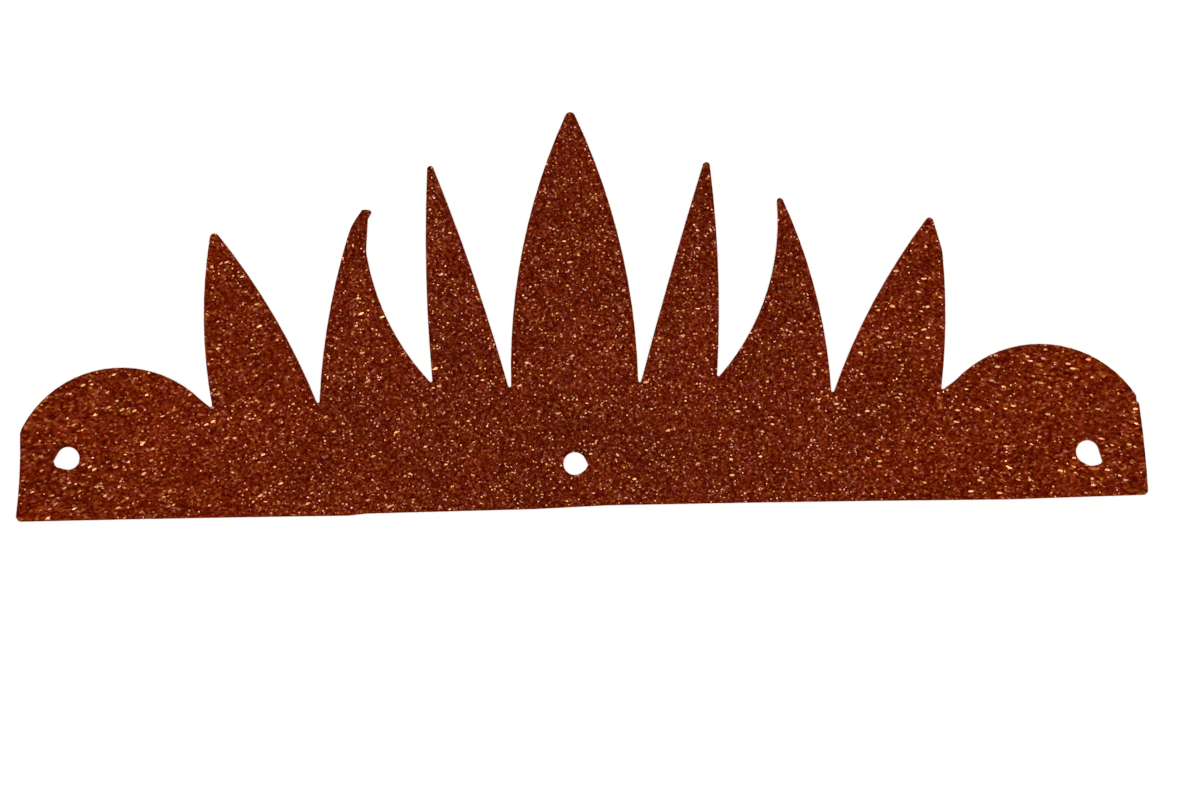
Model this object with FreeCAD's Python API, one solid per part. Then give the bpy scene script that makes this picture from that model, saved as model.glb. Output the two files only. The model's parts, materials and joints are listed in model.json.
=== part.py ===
import FreeCAD, Part
import math
import os
from collections import namedtuple

# Paper crown: one flat piece of glitter card, cut with scissors into seven pointed blades
# between two round end lobes, with three punched holes along its band.
#
# Sizes are millimetres. The outline is drawn with x from the middle of the card, positive to
# the right, and y up from the lowest point of the base edge. The finished card lies on its
# plain back at z = 0, glitter upwards, with the origin in the middle of its length and height.
#
# The outline is laid like a belt round pegs, clockwise, with the card on the right hand. Every
# rounded corner is a peg: the card lies inside the circle of a TIP peg and outside the circle
# of a NOTCH peg. From one peg to the next the cut touches both, and is bowed outwards (+),
# hollowed inwards (-) or straight (0).

TIP = 1
NOTCH = -1

Peg = namedtuple("Peg", "x y radius side bow", defaults=[0.0])
Cheek = namedtuple("Cheek", "offset drop radius")
Blade = namedtuple("Blade", "width_share reach_share lean tip_radius left_bow right_bow "
                            "left_cheek right_cheek", defaults=[None, None])
Snip = namedtuple("Snip", "x rise radius side bow", defaults=[0.0])
Hole = namedtuple("Hole", "inset height nick_angle nick_reach nick_radius")

# The whole card, and the band from the base edge up to the lowest notches
crown_length = 287.8
crown_height = 101.1
card_thickness = 0.5
band_height = 28.4

# The blades. The width share is the width between the notches on either side, as a share of the
# crown's length. The reach share is how far the point stands above the band, as a share of the
# middle blade's. The lean is how far the point stands right of the blade's middle. A cheek is a
# wide round bend in an edge, where two strokes of the scissors meet. Its peg's middle lies that
# far right of the point's, and that far below it.
hook_cheek = Cheek(offset=10.2, drop=10.3, radius=15.0)
outer_cheek = Cheek(offset=-8.8, drop=9.4, radius=12.0)
outer_left = Blade(width_share=0.0949, reach_share=0.607, lean=-11.6, tip_radius=1.2,
                   left_bow=1.8, right_bow=1.8)
hooked_left = Blade(width_share=0.1001, reach_share=0.677, lean=-1.6, tip_radius=0.7,
                    left_bow=1.4, right_bow=-2.4, left_cheek=hook_cheek)
inner_left = Blade(width_share=0.0695, reach_share=0.824, lean=-8.8, tip_radius=0.8,
                   left_bow=0.9, right_bow=0.8)
centre = Blade(width_share=0.1150, reach_share=1.0, lean=0.5, tip_radius=1.3,
               left_bow=4.0, right_bow=3.6)
inner_right = Blade(width_share=0.0698, reach_share=0.814, lean=8.2, tip_radius=0.9,
                    left_bow=0.3, right_bow=1.2)
hooked_right = Blade(width_share=0.1004, reach_share=0.682, lean=2.2, tip_radius=0.8,
                     left_bow=-4.8, right_bow=2.3)
outer_right = Blade(width_share=0.0973, reach_share=0.601, lean=11.6, tip_radius=1.0,
                    left_bow=1.9, right_bow=0.9, right_cheek=outer_cheek)
blades = [outer_left, hooked_left, inner_left, centre, inner_right, hooked_right, outer_right]

# The notches, by how far each stops above the band, from left to right
notch_rises = [0.0, 0.4, 5.0, 3.2, 3.7, 4.7, 0.0, 0.0]
notch_radius = 0.4

# The nib that overhangs the hollow edge of the left hooked blade, right of its point
nib_offset = 1.2
nib_drop = 0.1
nib_radius = 0.7
nib_hollow_drop = 1.9
nib_hollow_radius = 0.9

# The neck of the left hooked blade, where its hollow edge is furthest in
neck_offset = 0.4
neck_drop = 10.4
neck_radius = 8.0

# The end lobes, from the outer notch to the end of the card. The left one's width is a share of
# the crown's length, and the right one takes what the blades leave. Each has a foot, where its
# round edge turns into the straight snip that runs down into the notch.
left_lobe_share = 0.1741
left_lobe_bow = 10.5
left_foot_offset = 0.6
left_foot_rise = 3.9
right_lobe_bow = 12.2
right_foot_offset = 1.3
right_foot_rise = 4.1
foot_radius = 3.0

# The left end, which runs up from its corner into one long round shoulder
left_corner_radius = 1.4
left_corner_rise = 0.5
left_end_bow = -0.4
left_shoulder_inset = 1.5
left_shoulder_height = 22.0
left_shoulder_radius = 5.0

# The right end, whose shoulder has a jog where two snips of the scissors miss each other
right_corner_radius = 1.3
right_corner_rise = 0.3
right_end_bow = 0.2
right_shoulder_inset = 2.4
right_shoulder_height = 25.3
right_shoulder_radius = 0.7
jog_inset = 1.7
jog_height = 23.3
jog_radius = 0.4
jog_slot_drop = 0.9

# The small bends in the base edge, where the scissors were moved on, from right to left
right_turn = Snip(x=108.0, rise=0.0, radius=30.0, side=TIP, bow=-0.2)
middle_dip = Snip(x=7.0, rise=1.0, radius=30.0, side=NOTCH)
middle_turn = Snip(x=-12.0, rise=0.5, radius=30.0, side=TIP)
left_dip = Snip(x=-54.5, rise=0.4, radius=8.0, side=NOTCH)
left_turn = Snip(x=-59.5, rise=0.0, radius=8.0, side=TIP, bow=-0.1)
snips = [right_turn, middle_dip, middle_turn, left_dip, left_turn]

# The holes, all from one punch, each with a nick torn out of its rim. An end hole's inset is
# from its own end of the card, and the middle one's is from the middle of the card. The nick's
# angle is anticlockwise from +x, and it reaches that far from the hole's centre. Its sides are
# hollow, where the tear curves into the rim.
punch_diameter = 5.6
nick_bow = -0.4
left_hole = Hole(inset=13.6, height=16.3, nick_angle=206.0, nick_reach=3.8, nick_radius=1.2)
middle_hole = Hole(inset=-1.6, height=11.8, nick_angle=-20.0, nick_reach=3.2, nick_radius=1.5)
right_hole = Hole(inset=15.2, height=11.6, nick_angle=-48.0, nick_reach=4.3, nick_radius=1.2)

left_end = -crown_length / 2.0
right_end = crown_length / 2.0


def towards(start, end):
    """The distance between two points, and the unit direction from one to the other."""
    distance = math.hypot(end[0] - start[0], end[1] - start[1])
    return distance, (end[0] - start[0]) / distance, (end[1] - start[1]) / distance


def straight_touch(peg, next_peg):
    """Where the straight cut from one peg to the next touches each of them."""
    distance, along_x, along_y = towards((peg.x, peg.y), (next_peg.x, next_peg.y))
    slant = (peg.side * peg.radius - next_peg.side * next_peg.radius) / distance
    square = math.sqrt(1.0 - slant * slant)
    out_x = slant * along_x - square * along_y
    out_y = slant * along_y + square * along_x
    return [(p.x + p.side * p.radius * out_x, p.y + p.side * p.radius * out_y) for p in (peg, next_peg)]


def bow_circle(peg, next_peg):
    """Centre and radius of the bowed cut that touches two pegs."""
    distance, along_x, along_y = towards((peg.x, peg.y), (next_peg.x, next_peg.y))
    bow = abs(peg.bow)
    bend = math.copysign(1.0, peg.bow)
    radius = distance ** 2 / (8.0 * bow) + bow / 2.0
    reach = radius - bend * peg.side * peg.radius
    next_reach = radius - bend * next_peg.side * next_peg.radius
    along = (distance ** 2 + reach ** 2 - next_reach ** 2) / (2.0 * distance)
    aside = bend * math.sqrt(reach ** 2 - along ** 2)
    centre_x = peg.x + along * along_x + aside * along_y
    centre_y = peg.y + along * along_y - aside * along_x
    return (centre_x, centre_y), radius


def bowed_touch(peg, next_peg):
    """Where the bowed cut from one peg to the next touches each of them."""
    middle, radius = bow_circle(peg, next_peg)
    touches = []
    for p in (peg, next_peg):
        _, out_x, out_y = towards(middle, (p.x, p.y))
        touches.append((middle[0] + radius * out_x, middle[1] + radius * out_y))
    return touches


def arc_edge(middle, start, end, clockwise):
    """The arc about a middle point, from start to end, the way round that is asked for."""
    radius = math.hypot(start[0] - middle[0], start[1] - middle[1])
    start_angle = math.atan2(start[1] - middle[1], start[0] - middle[0])
    end_angle = math.atan2(end[1] - middle[1], end[0] - middle[0])
    turn = 2.0 * math.pi
    sweep = -((start_angle - end_angle) % turn) if clockwise else (end_angle - start_angle) % turn
    half_way = start_angle + sweep / 2.0
    crest = (middle[0] + radius * math.cos(half_way), middle[1] + radius * math.sin(half_way))
    points = [FreeCAD.Vector(x, y, 0.0) for x, y in (start, crest, end)]
    return Part.Arc(*points).toShape()


def line_edge(start, end):
    return Part.LineSegment(FreeCAD.Vector(*start, 0.0), FreeCAD.Vector(*end, 0.0)).toShape()


def belt_face(pegs):
    """The flat face inside a belt that is laid clockwise round the pegs."""
    following = pegs[1:] + pegs[:1]
    touches = []
    for peg, after in zip(pegs, following):
        touch = bowed_touch if peg.bow else straight_touch
        touches.append(touch(peg, after))
    edges = []
    for number, peg in enumerate(pegs):
        arrives = touches[number - 1][1]
        leaves, lands = touches[number]
        edges.append(arc_edge((peg.x, peg.y), arrives, leaves, peg.side == TIP))
        if peg.bow:
            middle, _ = bow_circle(peg, following[number])
            edges.append(arc_edge(middle, leaves, lands, peg.bow > 0.0))
        else:
            edges.append(line_edge(leaves, lands))
    return Part.Face(Part.Wire(edges))


def left_end_pegs():
    """The left corner and the shoulder that leads into the left lobe."""
    corner = Peg(left_end + left_corner_radius, left_corner_rise + left_corner_radius,
                 left_corner_radius, TIP, left_end_bow)
    shoulder = Peg(left_end + left_shoulder_inset + left_shoulder_radius, left_shoulder_height,
                   left_shoulder_radius, TIP, left_lobe_bow)
    return [corner, shoulder]


def tip_pegs(blade, blade_middle):
    """The blade's point, with its cheeks, or the left hooked blade's nib and neck."""
    top = band_height + blade.reach_share * (crown_height - band_height)
    tip = Peg(blade_middle + blade.lean, top - blade.tip_radius, blade.tip_radius, TIP)
    before = [cheek_peg(tip, blade.left_cheek)] if blade.left_cheek else []
    after = [cheek_peg(tip, blade.right_cheek)] if blade.right_cheek else []
    if blade is hooked_left:
        nib = Peg(tip.x + nib_offset, top - nib_drop - nib_radius, nib_radius, TIP)
        hollow = Peg(nib.x + nib_radius, nib.y - nib_hollow_drop, nib_hollow_radius, NOTCH)
        neck = Peg(tip.x + neck_offset + neck_radius, top - neck_drop, neck_radius, NOTCH)
        after = [nib, hollow, neck]
    pegs = before + [tip] + after
    return pegs[:-1] + [pegs[-1]._replace(bow=blade.right_bow)]


def cheek_peg(tip, cheek):
    return Peg(tip.x + cheek.offset, tip.y - cheek.drop, cheek.radius, TIP)


def crown_pegs():
    """The row of notches and blades between the two lobes, with the lobes' feet, left to right."""
    x = left_end + left_lobe_share * crown_length
    floor = band_height + notch_radius
    pegs = [Peg(x - left_foot_offset, floor + left_foot_rise, foot_radius, NOTCH)]
    for blade, rise in zip(blades, notch_rises):
        width = blade.width_share * crown_length
        pegs.append(Peg(x, floor + rise, notch_radius, NOTCH, blade.left_bow))
        pegs += tip_pegs(blade, x + width / 2.0)
        x += width
    last_notch = Peg(x, floor + notch_rises[-1], notch_radius, NOTCH)
    foot = Peg(x + right_foot_offset, floor + right_foot_rise, foot_radius, NOTCH, right_lobe_bow)
    return pegs + [last_notch, foot]


def right_end_pegs():
    """The right shoulder with its jog, and the right corner."""
    shoulder = Peg(right_end - right_shoulder_inset - right_shoulder_radius,
                   right_shoulder_height, right_shoulder_radius, TIP)
    jog = Peg(right_end - jog_inset - jog_radius, jog_height, jog_radius, TIP, right_end_bow)
    slot = Peg(right_end - right_shoulder_inset + jog_radius, shoulder.y - jog_slot_drop,
               jog_radius, NOTCH)
    corner = Peg(right_end - right_corner_radius, right_corner_rise + right_corner_radius,
                 right_corner_radius, TIP)
    return [shoulder, slot, jog, corner]


def base_pegs():
    """The bends in the base edge, from right to left."""
    pegs = []
    for snip in snips:
        middle_y = snip.rise + snip.side * snip.radius
        pegs.append(Peg(snip.x, middle_y, snip.radius, snip.side, snip.bow))
    return pegs


def hole_face(x, hole):
    """A punched hole and its nick."""
    throw = hole.nick_reach - hole.nick_radius
    angle = math.radians(hole.nick_angle)
    nick_x = x + throw * math.cos(angle)
    nick_y = hole.height + throw * math.sin(angle)
    punched = Peg(x, hole.height, punch_diameter / 2.0, TIP, nick_bow)
    nick = Peg(nick_x, nick_y, hole.nick_radius, TIP, nick_bow)
    return belt_face([punched, nick])


def crown():
    """The card, centred on the origin in x and y and lying on z = 0."""
    outline = belt_face(left_end_pegs() + crown_pegs() + right_end_pegs() + base_pegs())
    holes = [
        hole_face(left_end + left_hole.inset, left_hole),
        hole_face(middle_hole.inset, middle_hole),
        hole_face(right_end - right_hole.inset, right_hole),
    ]
    card = outline.cut(holes).Faces[0].extrude(FreeCAD.Vector(0.0, 0.0, card_thickness))
    card.translate(FreeCAD.Vector(0.0, -crown_height / 2.0, 0.0))
    return card


os.makedirs("parts", exist_ok=True)
card = crown()
card.exportStep("parts/crown.step")
box = card.BoundBox
print("crown", round(box.XLength, 2), "x", round(box.YLength, 2), "x", round(box.ZLength, 2), "mm,",
      "volume", round(card.Volume, 1), "mm3, valid", card.isValid())
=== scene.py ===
# %% [markdown]
# Paper crown: a flat crown cut with scissors from one sheet of glitter card.
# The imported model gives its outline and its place, and this file gives it its looks. Everything is
# in metres, in the model's own frame: the card lies on its plain back, glitter upwards.

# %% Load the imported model
import json
import math

import bpy
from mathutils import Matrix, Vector


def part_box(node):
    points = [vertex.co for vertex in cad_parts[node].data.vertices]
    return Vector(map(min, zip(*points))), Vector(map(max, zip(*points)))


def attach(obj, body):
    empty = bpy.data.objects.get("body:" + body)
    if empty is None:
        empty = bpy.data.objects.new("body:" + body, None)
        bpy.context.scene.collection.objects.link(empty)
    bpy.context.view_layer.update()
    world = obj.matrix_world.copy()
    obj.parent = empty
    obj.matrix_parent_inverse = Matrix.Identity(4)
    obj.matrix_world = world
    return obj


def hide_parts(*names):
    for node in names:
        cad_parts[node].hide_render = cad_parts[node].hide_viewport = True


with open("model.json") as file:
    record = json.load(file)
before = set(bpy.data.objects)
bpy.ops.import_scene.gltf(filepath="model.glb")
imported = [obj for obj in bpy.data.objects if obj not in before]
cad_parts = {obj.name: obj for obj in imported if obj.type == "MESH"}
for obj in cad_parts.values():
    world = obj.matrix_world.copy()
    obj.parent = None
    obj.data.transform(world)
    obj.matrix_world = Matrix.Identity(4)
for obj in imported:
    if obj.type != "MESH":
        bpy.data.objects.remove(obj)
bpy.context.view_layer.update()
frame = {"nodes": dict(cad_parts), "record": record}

MM = 0.001
card_low, card_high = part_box("crown")
print("card solid from", tuple(card_low), "to", tuple(card_high))

# %% [markdown]
# The camera looks straight down, as in the photograph, and is turned a little, because the base
# edge climbs to the right there. One pixel of the 1200 by 800 photograph covers about a quarter of a
# millimetre, which gives the width that the camera has to see. A camera at any height shows a flat
# card alike, so the height is that of a hand-held telephone.

# %% Place the camera
PHOTO_WIDTH = 1200
PIXEL = 0.254 * MM
CAMERA_LENS = 50.0
SENSOR_WIDTH = 36.0
AIM = Vector((5.2 * MM, -22.75 * MM, 0.5 * MM))
TILT_OF_BASE = math.radians(1.41)

seen_width = PHOTO_WIDTH * PIXEL
camera_height = seen_width * CAMERA_LENS / SENSOR_WIDTH
bpy.ops.object.select_all(action="DESELECT")
bpy.ops.object.camera_add(location=AIM + Vector((0.0, 0.0, camera_height)),
                          rotation=(0.0, 0.0, -TILT_OF_BASE))
camera = bpy.context.object
camera.name = "camera"
camera.data.lens = CAMERA_LENS
camera.data.sensor_width = SENSOR_WIDTH
bpy.context.scene.camera = camera
print("camera", round(camera_height, 3), "m above the card, seeing", round(seen_width, 3), "m")

# %% [markdown]
# The floor is a plain pale table top, a hair below the card. One plane is enough for it. It is many
# times larger than the camera's view, and from low down its far edge is seen as a pale horizon. It
# isn't part of the crown.

# %% Lay the floor
FLOOR_SIZE = 5.0
FLOOR_LEVEL = -0.02 * MM
FLOOR_COLOUR = (0.9, 0.9, 0.9)
FLOOR_ROUGHNESS = 0.6


def plain_material(name, colour, roughness):
    material = bpy.data.materials.new(name)
    material.use_nodes = True
    shader = material.node_tree.nodes["Principled BSDF"]
    shader.inputs["Base Color"].default_value = (*colour, 1.0)
    shader.inputs["Roughness"].default_value = roughness
    return material


bpy.ops.mesh.primitive_plane_add(size=FLOOR_SIZE, location=(0.0, 0.0, FLOOR_LEVEL))
floor = bpy.context.object
floor.name = "floor"
floor.data.materials.append(plain_material("pale_table", FLOOR_COLOUR, FLOOR_ROUGHNESS))
print("floor", FLOOR_SIZE, "m square")

# %% [markdown]
# Glitter only sparkles when its flakes mirror something bright beside something dark. One large lamp
# would light them all alike. So the room has a dim ceiling, and two rings of small lamps hang below
# it, a narrow and a wide one. A flake that happens to mirror a lamp is a spark, and its neighbours
# stay dark. Lamps spread evenly keep the floor plain, and light the middle of the card and its ends
# alike.

# %% Light the scene
LAMP_HEIGHT = 3.0
LAMP_SIZE = 0.48
LAMP_COLOUR = (1.0, 0.99, 0.975)


def hang_ring(name, count, radius, power):
    """A ring of soft square lamps that all face the middle of the card."""
    for number in range(count):
        angle = 2.0 * math.pi * (number + 0.5) / count
        place = Vector((radius * math.cos(angle), radius * math.sin(angle), LAMP_HEIGHT))
        facing = (-place).to_track_quat("-Z", "Y").to_euler()
        bpy.ops.object.light_add(type="AREA", location=place, rotation=facing)
        lamp = bpy.context.object
        lamp.name = f"{name}_{number + 1}"
        lamp.data.shape = "SQUARE"
        lamp.data.size = LAMP_SIZE
        lamp.data.energy = power
        lamp.data.color = LAMP_COLOUR
    print(name, count, "lamps of", power, "W")


hang_ring("narrow_ring", count=4, radius=0.96, power=10.3)
hang_ring("wide_ring", count=6, radius=2.55, power=17.8)

# %% [markdown]
# The room round the table is a glow with no walls of its own. Its strength depends on the height of
# the direction that is looked in, which is 0 at the horizon and 1 overhead. Low down it is pale, so
# that the crown stands before a light background, and overhead it is dim, for the flakes to mirror.

# %% Paint the room
WALL_GLOW = 0.80
WALL_UP_TO = 0.15
CEILING_GLOW = 0.12
CEILING_FROM = 0.50
ROOM_COLOUR = (0.98, 0.99, 1.0)

room = bpy.data.worlds.new("room")
room.use_nodes = True
glow = room.node_tree.nodes["Background"]
outlook = room.node_tree.nodes.new("ShaderNodeTexCoord")
height = room.node_tree.nodes.new("ShaderNodeSeparateXYZ")
fade = room.node_tree.nodes.new("ShaderNodeMapRange")
glow.inputs["Color"].default_value = (*ROOM_COLOUR, 1.0)
fade.inputs["From Min"].default_value = WALL_UP_TO
fade.inputs["From Max"].default_value = CEILING_FROM
fade.inputs["To Min"].default_value = WALL_GLOW
fade.inputs["To Max"].default_value = CEILING_GLOW
room.node_tree.links.new(outlook.outputs["Generated"], height.inputs["Vector"])
room.node_tree.links.new(height.outputs["Z"], fade.inputs["Value"])
room.node_tree.links.new(fade.outputs["Result"], glow.inputs["Strength"])
bpy.context.scene.world = room
bpy.context.scene.view_settings.view_transform = "Standard"
print("walls glow", WALL_GLOW, "and the ceiling", CEILING_GLOW)

# %% [markdown]
# The sheet carries a crust of glitter: a bed of grains, each turned its own way. On a flat face with a
# painted pattern all of it would take the light alike, so the crust is real relief. A fine grid is
# shaken, so that each of its facets faces another way, and made thick. What the shaken slab and the
# cut card have in common is the finished card: grains above, a flat back below, cut edges between.
# Both are closed bodies, so the manifold solver finds this quickly.

# %% Select one object
def pick(piece):
    bpy.ops.object.select_all(action="DESELECT")
    piece.select_set(True)
    bpy.context.view_layer.objects.active = piece


# %% Shake a grid into a slab of grains
GRAIN = 0.52 * MM
CRUST_TOP = 0.29 * MM
SHAKE = 0.16 * MM
EVEN_SHARE = 0.3
FLATTEN = 0.40
OVERHANG = 1.0 * MM
SLAB_DEPTH = 2.0 * MM

slab_length = card_high.x - card_low.x + 2.0 * OVERHANG
slab_width = card_high.y - card_low.y + 2.0 * OVERHANG
bpy.ops.object.select_all(action="DESELECT")
bpy.ops.mesh.primitive_grid_add(x_subdivisions=round(slab_length / GRAIN),
                                y_subdivisions=round(slab_width / GRAIN),
                                size=1.0, location=(0.0, 0.0, CRUST_TOP))
slab = bpy.context.object
slab.name = "grain_slab"
slab.scale = (slab_length, slab_width, 1.0)
bpy.ops.object.transform_apply(location=True, rotation=True, scale=True)
bpy.ops.object.mode_set(mode="EDIT")
bpy.ops.mesh.select_all(action="SELECT")
bpy.ops.transform.vertex_random(offset=SHAKE, uniform=EVEN_SHARE, normal=0.0, seed=4)
bpy.ops.transform.resize(value=(1.0, 1.0, FLATTEN), center_override=(0.0, 0.0, CRUST_TOP))
bpy.ops.mesh.quads_convert_to_tris(quad_method="BEAUTY", ngon_method="BEAUTY")
bpy.ops.mesh.extrude_region_move(TRANSFORM_OT_translate={"value": (0.0, 0.0, -SLAB_DEPTH)})
bpy.ops.mesh.select_all(action="SELECT")
bpy.ops.mesh.normals_make_consistent(inside=False)
bpy.ops.object.mode_set(mode="OBJECT")
print("slab", len(slab.data.polygons), "faces")

# %% Cut the slab to the card's outline
SAME_POINT = 0.001 * MM

card = frame["nodes"]["crown"].copy()
card.data = frame["nodes"]["crown"].data.copy()
card.parent = None
card.name = "glitter_card"
bpy.context.scene.collection.objects.link(card)
pick(card)
bpy.ops.object.mode_set(mode="EDIT")
bpy.ops.mesh.select_all(action="SELECT")
bpy.ops.mesh.remove_doubles(threshold=SAME_POINT)
bpy.ops.object.mode_set(mode="OBJECT")


def cut_with(piece, tool, operation):
    """Cuts a piece with a tool, and throws the tool away."""
    pick(piece)
    cut = piece.modifiers.new("cut", "BOOLEAN")
    cut.operation = operation
    cut.solver = "MANIFOLD"
    cut.object = tool
    bpy.ops.object.modifier_apply(modifier=cut.name)
    bpy.data.objects.remove(tool)


cut_with(card, slab, "INTERSECT")
print("card", len(card.data.polygons), "faces", [round(side / MM, 3) for side in card.dimensions], "mm")

# %% [markdown]
# Each punched hole is torn on one side, where a tie pulled at it, so that it looks like a pear or a
# drop. Such an outline is a band drawn tight round a large disc and a few small ones. That band is
# the convex hull of short cylinders, and the hull is then cut out of the card. The centres of the
# holes come from the model, and each disc is given as its place from there and its radius, in
# millimetres.

# %% Tear the holes
TORN_DISCS = {
    "hole_left": [(0.0, 0.0, 2.9), (-2.34, -1.14, 1.2), (-3.25, -0.70, 0.5)],
    "hole_middle": [(0.0, 0.0, 2.9), (1.60, -0.58, 1.5), (2.53, -0.38, 0.8)],
    "hole_right": [(0.0, 0.0, 2.9), (2.07, -2.30, 1.2), (0.95, -1.60, 2.0), (2.89, -2.41, 0.8)],
}
ROUND_SIDES = 64
PUNCH_DEPTH = 4.0 * MM
PIN_RADIUS = 0.1 * MM


def add_disc(place, radius):
    bpy.ops.mesh.primitive_cylinder_add(vertices=ROUND_SIDES, radius=radius, depth=PUNCH_DEPTH,
                                        location=place)


def torn_hole(centre, discs):
    """The body to cut out. A thin pin starts it at the centre, and the discs are added round that."""
    bpy.ops.object.select_all(action="DESELECT")
    add_disc(centre, PIN_RADIUS)
    tool = bpy.context.object
    bpy.ops.object.transform_apply(location=True, rotation=True, scale=True)
    bpy.ops.object.mode_set(mode="EDIT")
    for across, up, radius in discs:
        add_disc((centre[0] + across * MM, centre[1] + up * MM, centre[2]), radius * MM)
    bpy.ops.mesh.select_all(action="SELECT")
    bpy.ops.mesh.convex_hull()
    bpy.ops.object.mode_set(mode="OBJECT")
    return tool


for mount in frame["record"]["mounts"]:
    if mount["name"] in TORN_DISCS:
        cut_with(card, torn_hole(mount["pos_m"], TORN_DISCS[mount["name"]]), "DIFFERENCE")
        print(mount["name"], "torn,", len(card.data.polygons), "faces")

# %% [markdown]
# Here and there a larger flake lies on the crust, and these give the brightest sparks. A flake is a
# thin six-sided plate. It is modelled once, and geometry nodes lay nearly three thousand copies on
# the facets of the crust. A loop could place them too, but the nodes know how each facet is tilted
# and how far it is from a cut edge, where scissors would have clipped the flake. The fine flakes are
# densest in the middle of the card, and the long golden ones towards its ends, where they lean.

# %% Model one flake
FLAKE_SIDES = 6
FLAKE_THICKNESS = 0.02 * MM


def make_flake(name, length, width):
    bpy.ops.object.select_all(action="DESELECT")
    bpy.ops.mesh.primitive_cylinder_add(vertices=FLAKE_SIDES, radius=0.5, depth=FLAKE_THICKNESS,
                                        end_fill_type="NGON")
    flake = bpy.context.object
    flake.name = name
    bpy.ops.object.mode_set(mode="EDIT")
    bpy.ops.mesh.select_all(action="SELECT")
    bpy.ops.transform.resize(value=(length, width, 1.0), center_override=(0.0, 0.0, 0.0))
    bpy.ops.object.mode_set(mode="OBJECT")
    return flake


# %% [markdown]
# Nodes are joined by the names of their sockets. A Random Value node and a Mix node have several
# sockets of one name, for numbers, vectors and colours, and a Math node calls each of its numbers
# Value. Those sockets are reached by their place instead, counted from 0.

# %% Helpers for nodes
RANDOM_LOW = 2
RANDOM_HIGH = 3
RANDOM_RESULT = 1
MIX_FIRST = 6
MIX_SECOND = 7
MIX_RESULT = 2


def link(tree, source, output, target, socket):
    tree.links.new(source.outputs[output], target.inputs[socket])


def add_nodes(tree, *kinds):
    return [tree.nodes.new(kind) for kind in kinds]


def distance_aside(tree, position_socket):
    """How far a point lies from the middle of the card, to the left or to the right."""
    parts, aside = add_nodes(tree, "ShaderNodeSeparateXYZ", "ShaderNodeMath")
    aside.operation = "ABSOLUTE"
    tree.links.new(position_socket, parts.inputs["Vector"])
    link(tree, parts, "X", aside, "Value")
    return aside


# %% Find the places for flakes
LOOKS_UP = 0.5
WALL_SLACK = 0.3
DENSITY_FROM = 40.0 * MM
DENSITY_TO = 130.0 * MM


def upward_faces(tree):
    """True on the faces of the crust, which look up."""
    facing, parts, upward = add_nodes(tree, "GeometryNodeInputNormal", "ShaderNodeSeparateXYZ",
                                      "FunctionNodeCompare")
    upward.operation = "GREATER_THAN"
    upward.inputs["B"].default_value = LOOKS_UP
    link(tree, facing, "Normal", parts, "Vector")
    link(tree, parts, "Z", upward, "A")
    return upward


def clear_of_edge(tree, start, margin):
    """True where a point is at least the margin away from the cut edges of the card."""
    facing, parts, steep = add_nodes(tree, "GeometryNodeInputNormal", "ShaderNodeSeparateXYZ",
                                     "FunctionNodeCompare")
    walls, near, clear = add_nodes(tree, "GeometryNodeSeparateGeometry", "GeometryNodeProximity",
                                   "FunctionNodeCompare")
    steep.operation = "EQUAL"
    steep.inputs["B"].default_value = 0.0
    steep.inputs["Epsilon"].default_value = WALL_SLACK
    walls.domain = "FACE"
    near.target_element = "FACES"
    clear.operation = "GREATER_THAN"
    clear.inputs["B"].default_value = margin
    link(tree, facing, "Normal", parts, "Vector")
    link(tree, parts, "Z", steep, "A")
    link(tree, start, "Geometry", walls, "Geometry")
    link(tree, steep, "Result", walls, "Selection")
    link(tree, walls, "Selection", near, "Geometry")
    link(tree, near, "Distance", clear, "A")
    return clear


def density_along(tree, middle_density, end_density):
    """Flakes per square metre, changing from the middle of the card to its ends."""
    where, density = add_nodes(tree, "GeometryNodeInputPosition", "ShaderNodeMapRange")
    density.inputs["From Min"].default_value = DENSITY_FROM
    density.inputs["From Max"].default_value = DENSITY_TO
    density.inputs["To Min"].default_value = middle_density
    density.inputs["To Max"].default_value = end_density
    link(tree, distance_aside(tree, where.outputs["Position"]), "Value", density, "Value")
    return density


# %% Turn the flakes
LEAN_PER_METRE = -2.7
LOOSE_LEAN = 0.25


def random_between(tree, low, high):
    """A number of its own for each flake."""
    draw = tree.nodes.new("FunctionNodeRandomValue")
    draw.inputs[RANDOM_LOW].default_value = low
    draw.inputs[RANDOM_HIGH].default_value = high
    return draw.outputs[RANDOM_RESULT]


def leaning_turn(tree, points):
    """Turns that lay a flake flat on its facet, leaning more and more towards the ends."""
    flat, lean, leaning = add_nodes(tree, "FunctionNodeAlignRotationToVector",
                                    "FunctionNodeAxisAngleToRotation", "FunctionNodeRotateRotation")
    where, parts, angle = add_nodes(tree, "GeometryNodeInputPosition", "ShaderNodeSeparateXYZ",
                                    "ShaderNodeMath")
    flat.axis = "Z"
    leaning.rotation_space = "LOCAL"
    angle.operation = "MULTIPLY_ADD"
    angle.inputs[1].default_value = LEAN_PER_METRE
    tree.links.new(random_between(tree, -LOOSE_LEAN, LOOSE_LEAN), angle.inputs[2])
    link(tree, where, "Position", parts, "Vector")
    link(tree, parts, "X", angle, 0)
    link(tree, angle, "Value", lean, "Angle")
    link(tree, points, "Normal", flat, "Vector")
    link(tree, flat, "Rotation", leaning, "Rotation")
    link(tree, lean, "Rotation", leaning, "Rotate By")
    return leaning


# %% Build the scatter
SMALLEST = 0.6
LARGEST = 1.3


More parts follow.
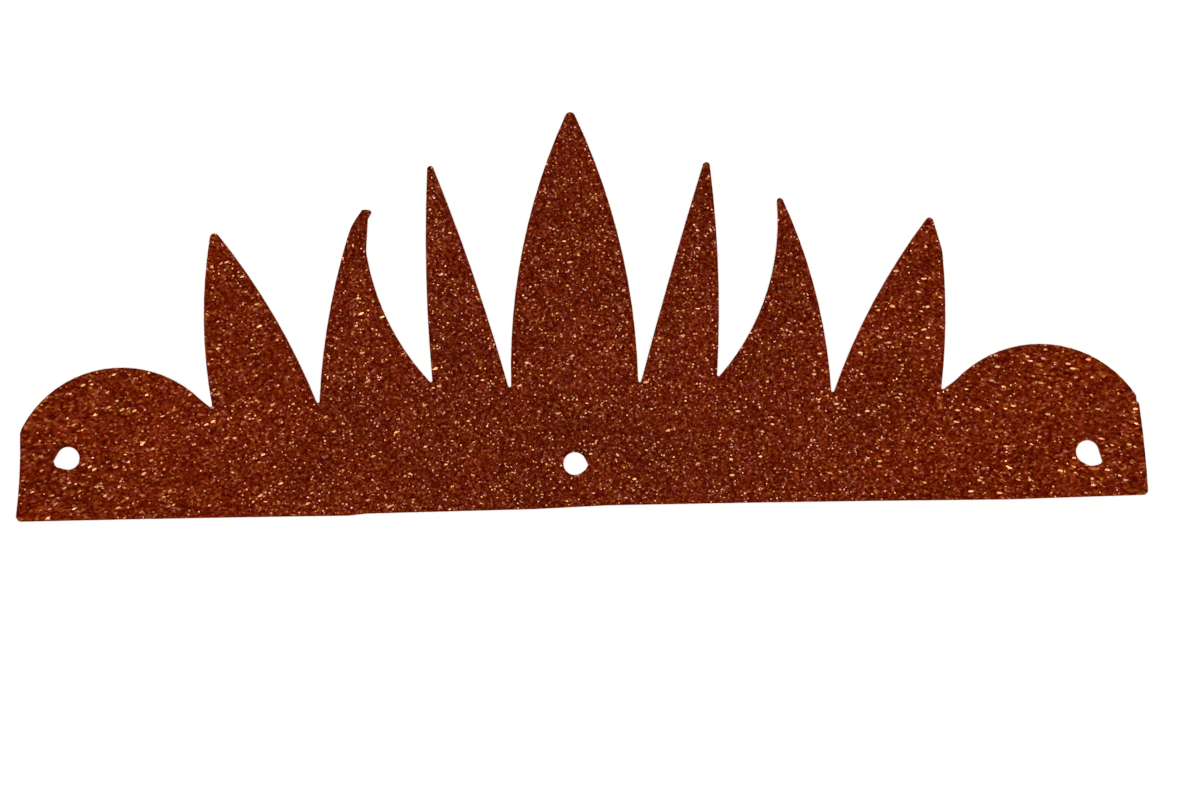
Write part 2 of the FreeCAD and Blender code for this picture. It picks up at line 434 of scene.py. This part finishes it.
def scatter_tree(name, flake, margin, middle_density, end_density, seed):
    """Geometry nodes that lay copies of a flake on all faces that look up."""
    tree = bpy.data.node_groups.new(name, "GeometryNodeTree")
    for direction in ("INPUT", "OUTPUT"):
        tree.interface.new_socket("Geometry", in_out=direction, socket_type="NodeSocketGeometry")
    start, end, points = add_nodes(tree, "NodeGroupInput", "NodeGroupOutput",
                                   "GeometryNodeDistributePointsOnFaces")
    points.inputs["Seed"].default_value = seed
    link(tree, start, "Geometry", points, "Mesh")
    link(tree, upward_faces(tree), "Result", points, "Selection")
    link(tree, density_along(tree, middle_density, end_density), "Result", points, "Density")

    source, place, real = add_nodes(tree, "GeometryNodeObjectInfo", "GeometryNodeInstanceOnPoints",
                                    "GeometryNodeRealizeInstances")
    source.inputs["Object"].default_value = flake
    link(tree, points, "Points", place, "Points")
    link(tree, clear_of_edge(tree, start, margin), "Result", place, "Selection")
    link(tree, leaning_turn(tree, points), "Rotation", place, "Rotation")
    link(tree, source, "Geometry", place, "Instance")
    tree.links.new(random_between(tree, SMALLEST, LARGEST), place.inputs["Scale"])
    link(tree, place, "Instances", real, "Geometry")
    link(tree, real, "Geometry", end, "Geometry")
    return tree


def scatter(name, flake_size, middle_density, end_density, seed):
    """A piece of loose flakes on the card. The densities are in flakes per square metre."""
    flake = make_flake("one_" + name, *flake_size)
    piece = card.copy()
    piece.data = card.data.copy()
    piece.name = name
    bpy.context.scene.collection.objects.link(piece)
    pick(piece)
    spread = piece.modifiers.new("scatter", "NODES")
    margin = max(flake_size) / 2.0
    spread.node_group = scatter_tree(name + "_scatter", flake, margin, middle_density, end_density, seed)
    bpy.ops.object.modifier_apply(modifier=spread.name)
    bpy.data.objects.remove(flake)
    flake_count = len(piece.data.polygons) // (FLAKE_SIDES + 2)
    print(name, flake_count, "flakes", [round(side / MM, 3) for side in piece.dimensions], "mm")
    return piece


# %% Scatter the flakes
FINE_FLAKE = (0.44 * MM, 0.40 * MM)
LONG_FLAKE = (1.25 * MM, 0.48 * MM)

fine_flakes = scatter("fine_flakes", FINE_FLAKE, middle_density=0.23e6, end_density=0.065e6, seed=23)
long_flakes = scatter("long_flakes", LONG_FLAKE, middle_density=0.010e6, end_density=0.055e6, seed=11)

# %% [markdown]
# The glitter's colour. Seen close, dark copper grains lie beside paler ones, and the palest are partly
# painted glints. The cells of a cell texture stand for the grains: each cell draws a random number,
# and a ramp turns that into a colour. The grains seem to lie in streaks that are drawn out towards
# the ends of the card, so the position is stretched there. Three soft noises vary the whole: the
# streaks, patches of a rosier or a more orange hue, and wide clouds where the card is duller. Beside
# two of the torn holes the glitter is darkened with painted shade, where the torn rims throw their
# shadow, and each such patch is simply what lies near enough to a point. Towards the ends the card is
# painted lighter and more golden, as painted light. All of this is one node group, because the crust
# and both kinds of flake use it.

# %% Stretch the pattern and mark the painted shade beside the holes
END_STRETCH = 8.0
# Points beside two torn holes, round which shade is painted into the glitter.
HOLE_SHADE_SPOTS = ((-131.8 * MM, -31.3 * MM, CRUST_TOP), (0.8 * MM, -36.1 * MM, CRUST_TOP))
HOLE_SHADE_CORE = 0.5 * MM
HOLE_SHADE_REACH = 2.1 * MM


def stretched_place(group, place):
    """The position, shrunk more and more away from the middle, so that the cells there are longer."""
    parts, squared, shrink, stretched = add_nodes(group, "ShaderNodeSeparateXYZ", "ShaderNodeMath",
                                                  "ShaderNodeMath", "ShaderNodeVectorMath")
    squared.operation = "MULTIPLY"
    shrink.operation = "MULTIPLY_ADD"
    shrink.inputs[1].default_value = -END_STRETCH
    shrink.inputs[2].default_value = 1.0
    stretched.operation = "SCALE"
    link(group, place, "Object", parts, "Vector")
    link(group, parts, "X", squared, 0)
    link(group, parts, "X", squared, 1)
    link(group, squared, "Value", shrink, 0)
    link(group, place, "Object", stretched, "Vector")
    link(group, shrink, "Value", stretched, "Scale")
    return stretched


def painted_hole_shade_mask(group, position):
    """0 in the middle of a patch of painted shade beside a torn hole, and 1 away from all of them."""
    mask = None
    for place in HOLE_SHADE_SPOTS:
        away, fade_out = add_nodes(group, "ShaderNodeVectorMath", "ShaderNodeMapRange")
        away.operation = "DISTANCE"
        away.inputs[1].default_value = place
        fade_out.interpolation_type = "SMOOTHSTEP"
        fade_out.inputs["From Min"].default_value = HOLE_SHADE_CORE
        fade_out.inputs["From Max"].default_value = HOLE_SHADE_REACH
        group.links.new(position, away.inputs[0])
        link(group, away, "Value", fade_out, "Value")
        if mask is None:
            mask = fade_out.outputs["Result"]
        else:
            both = group.nodes.new("ShaderNodeMath")
            both.operation = "MULTIPLY"
            group.links.new(mask, both.inputs[0])
            link(group, fade_out, "Result", both, 1)
            mask = both.outputs["Value"]
    return mask


# %% Grain draws as a node group
STREAKS_PER_METRE = 1100.0
HUES_PER_METRE = 420.0
CLOUDS_PER_METRE = 45.0
ENDS_FROM = 30.0 * MM
ENDS_TO = 130.0 * MM
GROUP_OUTPUTS = ("Draw", "Streak", "Hue", "Cloud", "Hole shade", "Towards ends")


def noise(group, vector, scale, detail):
    texture = group.nodes.new("ShaderNodeTexNoise")
    texture.inputs["Scale"].default_value = scale
    texture.inputs["Detail"].default_value = detail
    group.links.new(vector, texture.inputs["Vector"])
    return texture


def grain_group():
    """What is drawn for each grain, and how that changes over the card, each from 0 to 1."""
    group = bpy.data.node_groups.new("grain_draw", "ShaderNodeTree")
    group.interface.new_socket("Grains per metre", in_out="INPUT", socket_type="NodeSocketFloat")
    for name in GROUP_OUTPUTS:
        group.interface.new_socket(name, in_out="OUTPUT", socket_type="NodeSocketFloat")
    start, end, place = add_nodes(group, "NodeGroupInput", "NodeGroupOutput", "ShaderNodeTexCoord")
    position = place.outputs["Object"]
    stretched = stretched_place(group, place).outputs["Vector"]

    cells, draws = add_nodes(group, "ShaderNodeTexVoronoi", "ShaderNodeSeparateColor")
    cells.voronoi_dimensions = "2D"
    group.links.new(stretched, cells.inputs["Vector"])
    link(group, start, "Grains per metre", cells, "Scale")
    link(group, cells, "Color", draws, "Color")
    link(group, draws, "Red", end, "Draw")
    link(group, noise(group, stretched, STREAKS_PER_METRE, detail=1.0), "Fac", end, "Streak")
    link(group, noise(group, stretched, HUES_PER_METRE, detail=1.0), "Fac", end, "Hue")
    link(group, noise(group, position, CLOUDS_PER_METRE, detail=3.0), "Fac", end, "Cloud")
    group.links.new(painted_hole_shade_mask(group, position), end.inputs["Hole shade"])

    # How far towards an end a point lies, which drives the painted light that brightens the ends.
    ends = group.nodes.new("ShaderNodeMapRange")
    ends.interpolation_type = "SMOOTHSTEP"
    ends.inputs["From Min"].default_value = ENDS_FROM
    ends.inputs["From Max"].default_value = ENDS_TO
    link(group, distance_aside(group, position), "Value", ends, "Value")
    link(group, ends, "Result", end, "Towards ends")
    return group


grain_draw = grain_group()
print(grain_draw.name, "puts out", ", ".join(GROUP_OUTPUTS))

# %% [markdown]
# A grain's colour comes from a ramp. Other outputs of the group go through ramps of their own, and
# each of those multiplies the colour. The painted grains have no gloss, because a gloss over all of
# them would lay a grey haze on the card. What sparkles are the flakes, which are metal.

# %% Colour ramps
def ramp_of(tree, steps):
    """A colour ramp. Each step is a position from 0 to 1 and its colour."""
    ramp = tree.nodes.new("ShaderNodeValToRGB")
    elements = ramp.color_ramp.elements
    elements.remove(elements[1])
    elements[0].position = steps[0][0]
    elements[0].color = (*steps[0][1], 1.0)
    for position, colour in steps[1:]:
        elements.new(position).color = (*colour, 1.0)
    return ramp


def multiplied(tree, first, second):
    """A colour times a colour."""
    mix = tree.nodes.new("ShaderNodeMix")
    mix.data_type = "RGBA"
    mix.blend_type = "MULTIPLY"
    mix.inputs["Factor"].default_value = 1.0
    tree.links.new(first, mix.inputs[MIX_FIRST])
    tree.links.new(second, mix.inputs[MIX_SECOND])
    return mix.outputs[MIX_RESULT]


# %% The material of grains
def grain_material(name, grains_per_metre, draw_steps, factors, metallic, roughness):
    """Grains that each draw their colour from the steps. Each factor is a ramp that multiplies it."""
    material = bpy.data.materials.new(name)
    material.use_nodes = True
    tree = material.node_tree
    shader = tree.nodes["Principled BSDF"]
    shader.inputs["Specular IOR Level"].default_value = 0.0
    shader.inputs["Metallic"].default_value = metallic
    shader.inputs["Roughness"].default_value = roughness
    grains = tree.nodes.new("ShaderNodeGroup")
    grains.node_tree = grain_draw
    grains.inputs["Grains per metre"].default_value = grains_per_metre
    draw_ramp = ramp_of(tree, draw_steps)
    link(tree, grains, "Draw", draw_ramp, "Fac")
    colour = draw_ramp.outputs["Color"]
    for output, steps in factors.items():
        factor_ramp = ramp_of(tree, steps)
        link(tree, grains, output, factor_ramp, "Fac")
        colour = multiplied(tree, colour, factor_ramp.outputs["Color"])
    tree.links.new(colour, shader.inputs["Base Color"])
    print(name, "with", len(factors), "factors")
    return material


# %% Glitter and flakes
UNCHANGED = (1.0, 1.0, 1.0)
GLITTER_GRAINS_PER_METRE = 2500.0
FOIL_GRAINS_PER_METRE = 1200.0

copper_steps = [
    (0.0, (0.056, 0.0018, 0.0008)),
    (0.35, (0.091, 0.0064, 0.001)),
    (0.70, (0.131, 0.0145, 0.003)),
    # The two palest steps are partly the grains' own paler colour and partly painted glints.
    (0.92, (0.184, 0.031, 0.010)),
    (1.0, (0.31, 0.095, 0.04)),
]
copper_factors = {
    "Streak": [(0.3, (0.70, 0.55, 0.40)), (0.5, UNCHANGED), (0.7, (1.35, 1.60, 1.9))],
    "Hue": [(0.35, (0.98, 0.94, 1.35)), (0.65, (1.03, 1.08, 0.6))],
    "Cloud": [(0.3, (0.85, 0.85, 0.85)), (0.7, (1.15, 1.15, 1.15))],
    # Painted shade beside two torn holes: the glitter is made darker and a little bluer there.
    "Hole shade": [(0.0, (0.42, 0.42, 0.60)), (1.0, UNCHANGED)],
    # Painted light: towards its ends the card is made lighter and more golden.
    "Towards ends": [(0.0, UNCHANGED), (1.0, (1.18, 1.14, 0.85))],
}
fine_steps = [
    (0.0, (0.50, 0.21, 0.07)),
    (0.45, (0.60, 0.29, 0.12)),
    (0.55, (0.44, 0.20, 0.13)),
    (1.0, (0.62, 0.32, 0.23)),
]
long_steps = [(0.0, (0.48, 0.20, 0.08)), (1.0, (0.66, 0.36, 0.16))]
flake_factors = {"Hue": [(0.35, (1.0, 0.95, 1.1)), (0.65, (1.0, 1.0, 0.8))]}

glitter = grain_material("copper_glitter", GLITTER_GRAINS_PER_METRE, copper_steps, copper_factors,
                         metallic=0.0, roughness=0.5)
fine_foil = grain_material("fine_foil", FOIL_GRAINS_PER_METRE, fine_steps, flake_factors,
                           metallic=1.0, roughness=0.32)
long_foil = grain_material("long_foil", FOIL_GRAINS_PER_METRE, long_steps, flake_factors,
                           metallic=1.0, roughness=0.32)

# %% [markdown]
# The cut edge shows the sheet in section: pale paper below, and the brown glitter coat above it. A
# second solid for the coat would add nothing to that, so it is a change of colour up the height of
# the card. The back is the bare paper, with faint fibres.

# %% Paper back and cut edge
FIBRES_PER_METRE = 900.0
FIBRE_DETAIL = 4.0
FIBRE_HEIGHT = 0.02 * MM
FIBRE_STRENGTH = 0.15
PAPER_ROUGHNESS = 0.9
COAT_COLOUR = (0.16, 0.03, 0.01)
COAT_FROM = 0.22 * MM
COAT_BLEND = 0.03 * MM


def coated(tree, place, paper_colour):
    """The paper's colour low down, and the coat's colour above."""
    parts, layer, mix = add_nodes(tree, "ShaderNodeSeparateXYZ", "ShaderNodeMapRange", "ShaderNodeMix")
    layer.inputs["From Min"].default_value = COAT_FROM
    layer.inputs["From Max"].default_value = COAT_FROM + COAT_BLEND
    mix.data_type = "RGBA"
    mix.inputs[MIX_SECOND].default_value = (*COAT_COLOUR, 1.0)
    link(tree, place, "Object", parts, "Vector")
    link(tree, parts, "Z", layer, "Value")
    link(tree, layer, "Result", mix, "Factor")
    tree.links.new(paper_colour, mix.inputs[MIX_FIRST])
    return mix.outputs[MIX_RESULT]


def paper_material(name, low_colour, high_colour, with_coat):
    """Paper with faint fibres, in two near colours, and with the glitter coat above it or without."""
    material = bpy.data.materials.new(name)
    material.use_nodes = True
    tree = material.node_tree
    shader = tree.nodes["Principled BSDF"]
    shader.inputs["Roughness"].default_value = PAPER_ROUGHNESS
    place, fibres, bump = add_nodes(tree, "ShaderNodeTexCoord", "ShaderNodeTexNoise", "ShaderNodeBump")
    fibres.inputs["Scale"].default_value = FIBRES_PER_METRE
    fibres.inputs["Detail"].default_value = FIBRE_DETAIL
    bump.inputs["Strength"].default_value = FIBRE_STRENGTH
    bump.inputs["Distance"].default_value = FIBRE_HEIGHT
    paper = ramp_of(tree, [(0.35, low_colour), (0.65, high_colour)])
    link(tree, place, "Object", fibres, "Vector")
    link(tree, fibres, "Fac", paper, "Fac")
    link(tree, fibres, "Fac", bump, "Height")
    link(tree, bump, "Normal", shader, "Normal")
    colour = paper.outputs["Color"]
    if with_coat:
        colour = coated(tree, place, colour)
    tree.links.new(colour, shader.inputs["Base Color"])
    return material


edge = paper_material("cut_edge", (0.62, 0.55, 0.50), (0.74, 0.68, 0.62), with_coat=True)
back = paper_material("plain_back", (0.76, 0.73, 0.68), (0.83, 0.80, 0.76), with_coat=False)
print(edge.name, "and", back.name, "are paper")

# %% [markdown]
# One mesh carries three finishes. They could be marked by hand, but there are tens of thousands of
# facets. A face that looks up is glitter, one that looks down is bare paper, and the rest are the
# cut edge, so the direction of a face says which finish it takes.

# %% Give the faces their finish
LEVEL_ENOUGH = 0.3


def finish_of(face):
    if face.normal.z > LEVEL_ENOUGH:
        return glitter
    if face.normal.z < -LEVEL_ENOUGH:
        return back
    return edge


finishes = [glitter, edge, back]
card.data.materials.clear()
for material in finishes:
    card.data.materials.append(material)
for face in card.data.polygons:
    face.material_index = finishes.index(finish_of(face))
for number, material in enumerate(finishes):
    face_count = sum(face.material_index == number for face in card.data.polygons)
    print(material.name, "on", face_count, "faces")

for flakes, foil in ((long_flakes, long_foil), (fine_flakes, fine_foil)):
    flakes.data.materials.clear()
    flakes.data.materials.append(foil)
    print(foil.name, "on", flakes.name)

# %% [markdown]
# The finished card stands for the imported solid, and the flakes ride on the same body, because they
# are glued to it. The object's size before and after is written down, so that it can be seen that
# the looks haven't changed it.

# %% Hand the pieces to the frame
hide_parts("crown")
for piece in (card, long_flakes, fine_flakes):
    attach(piece, "root")
    print(piece.name, "rides on the one body of the crown")
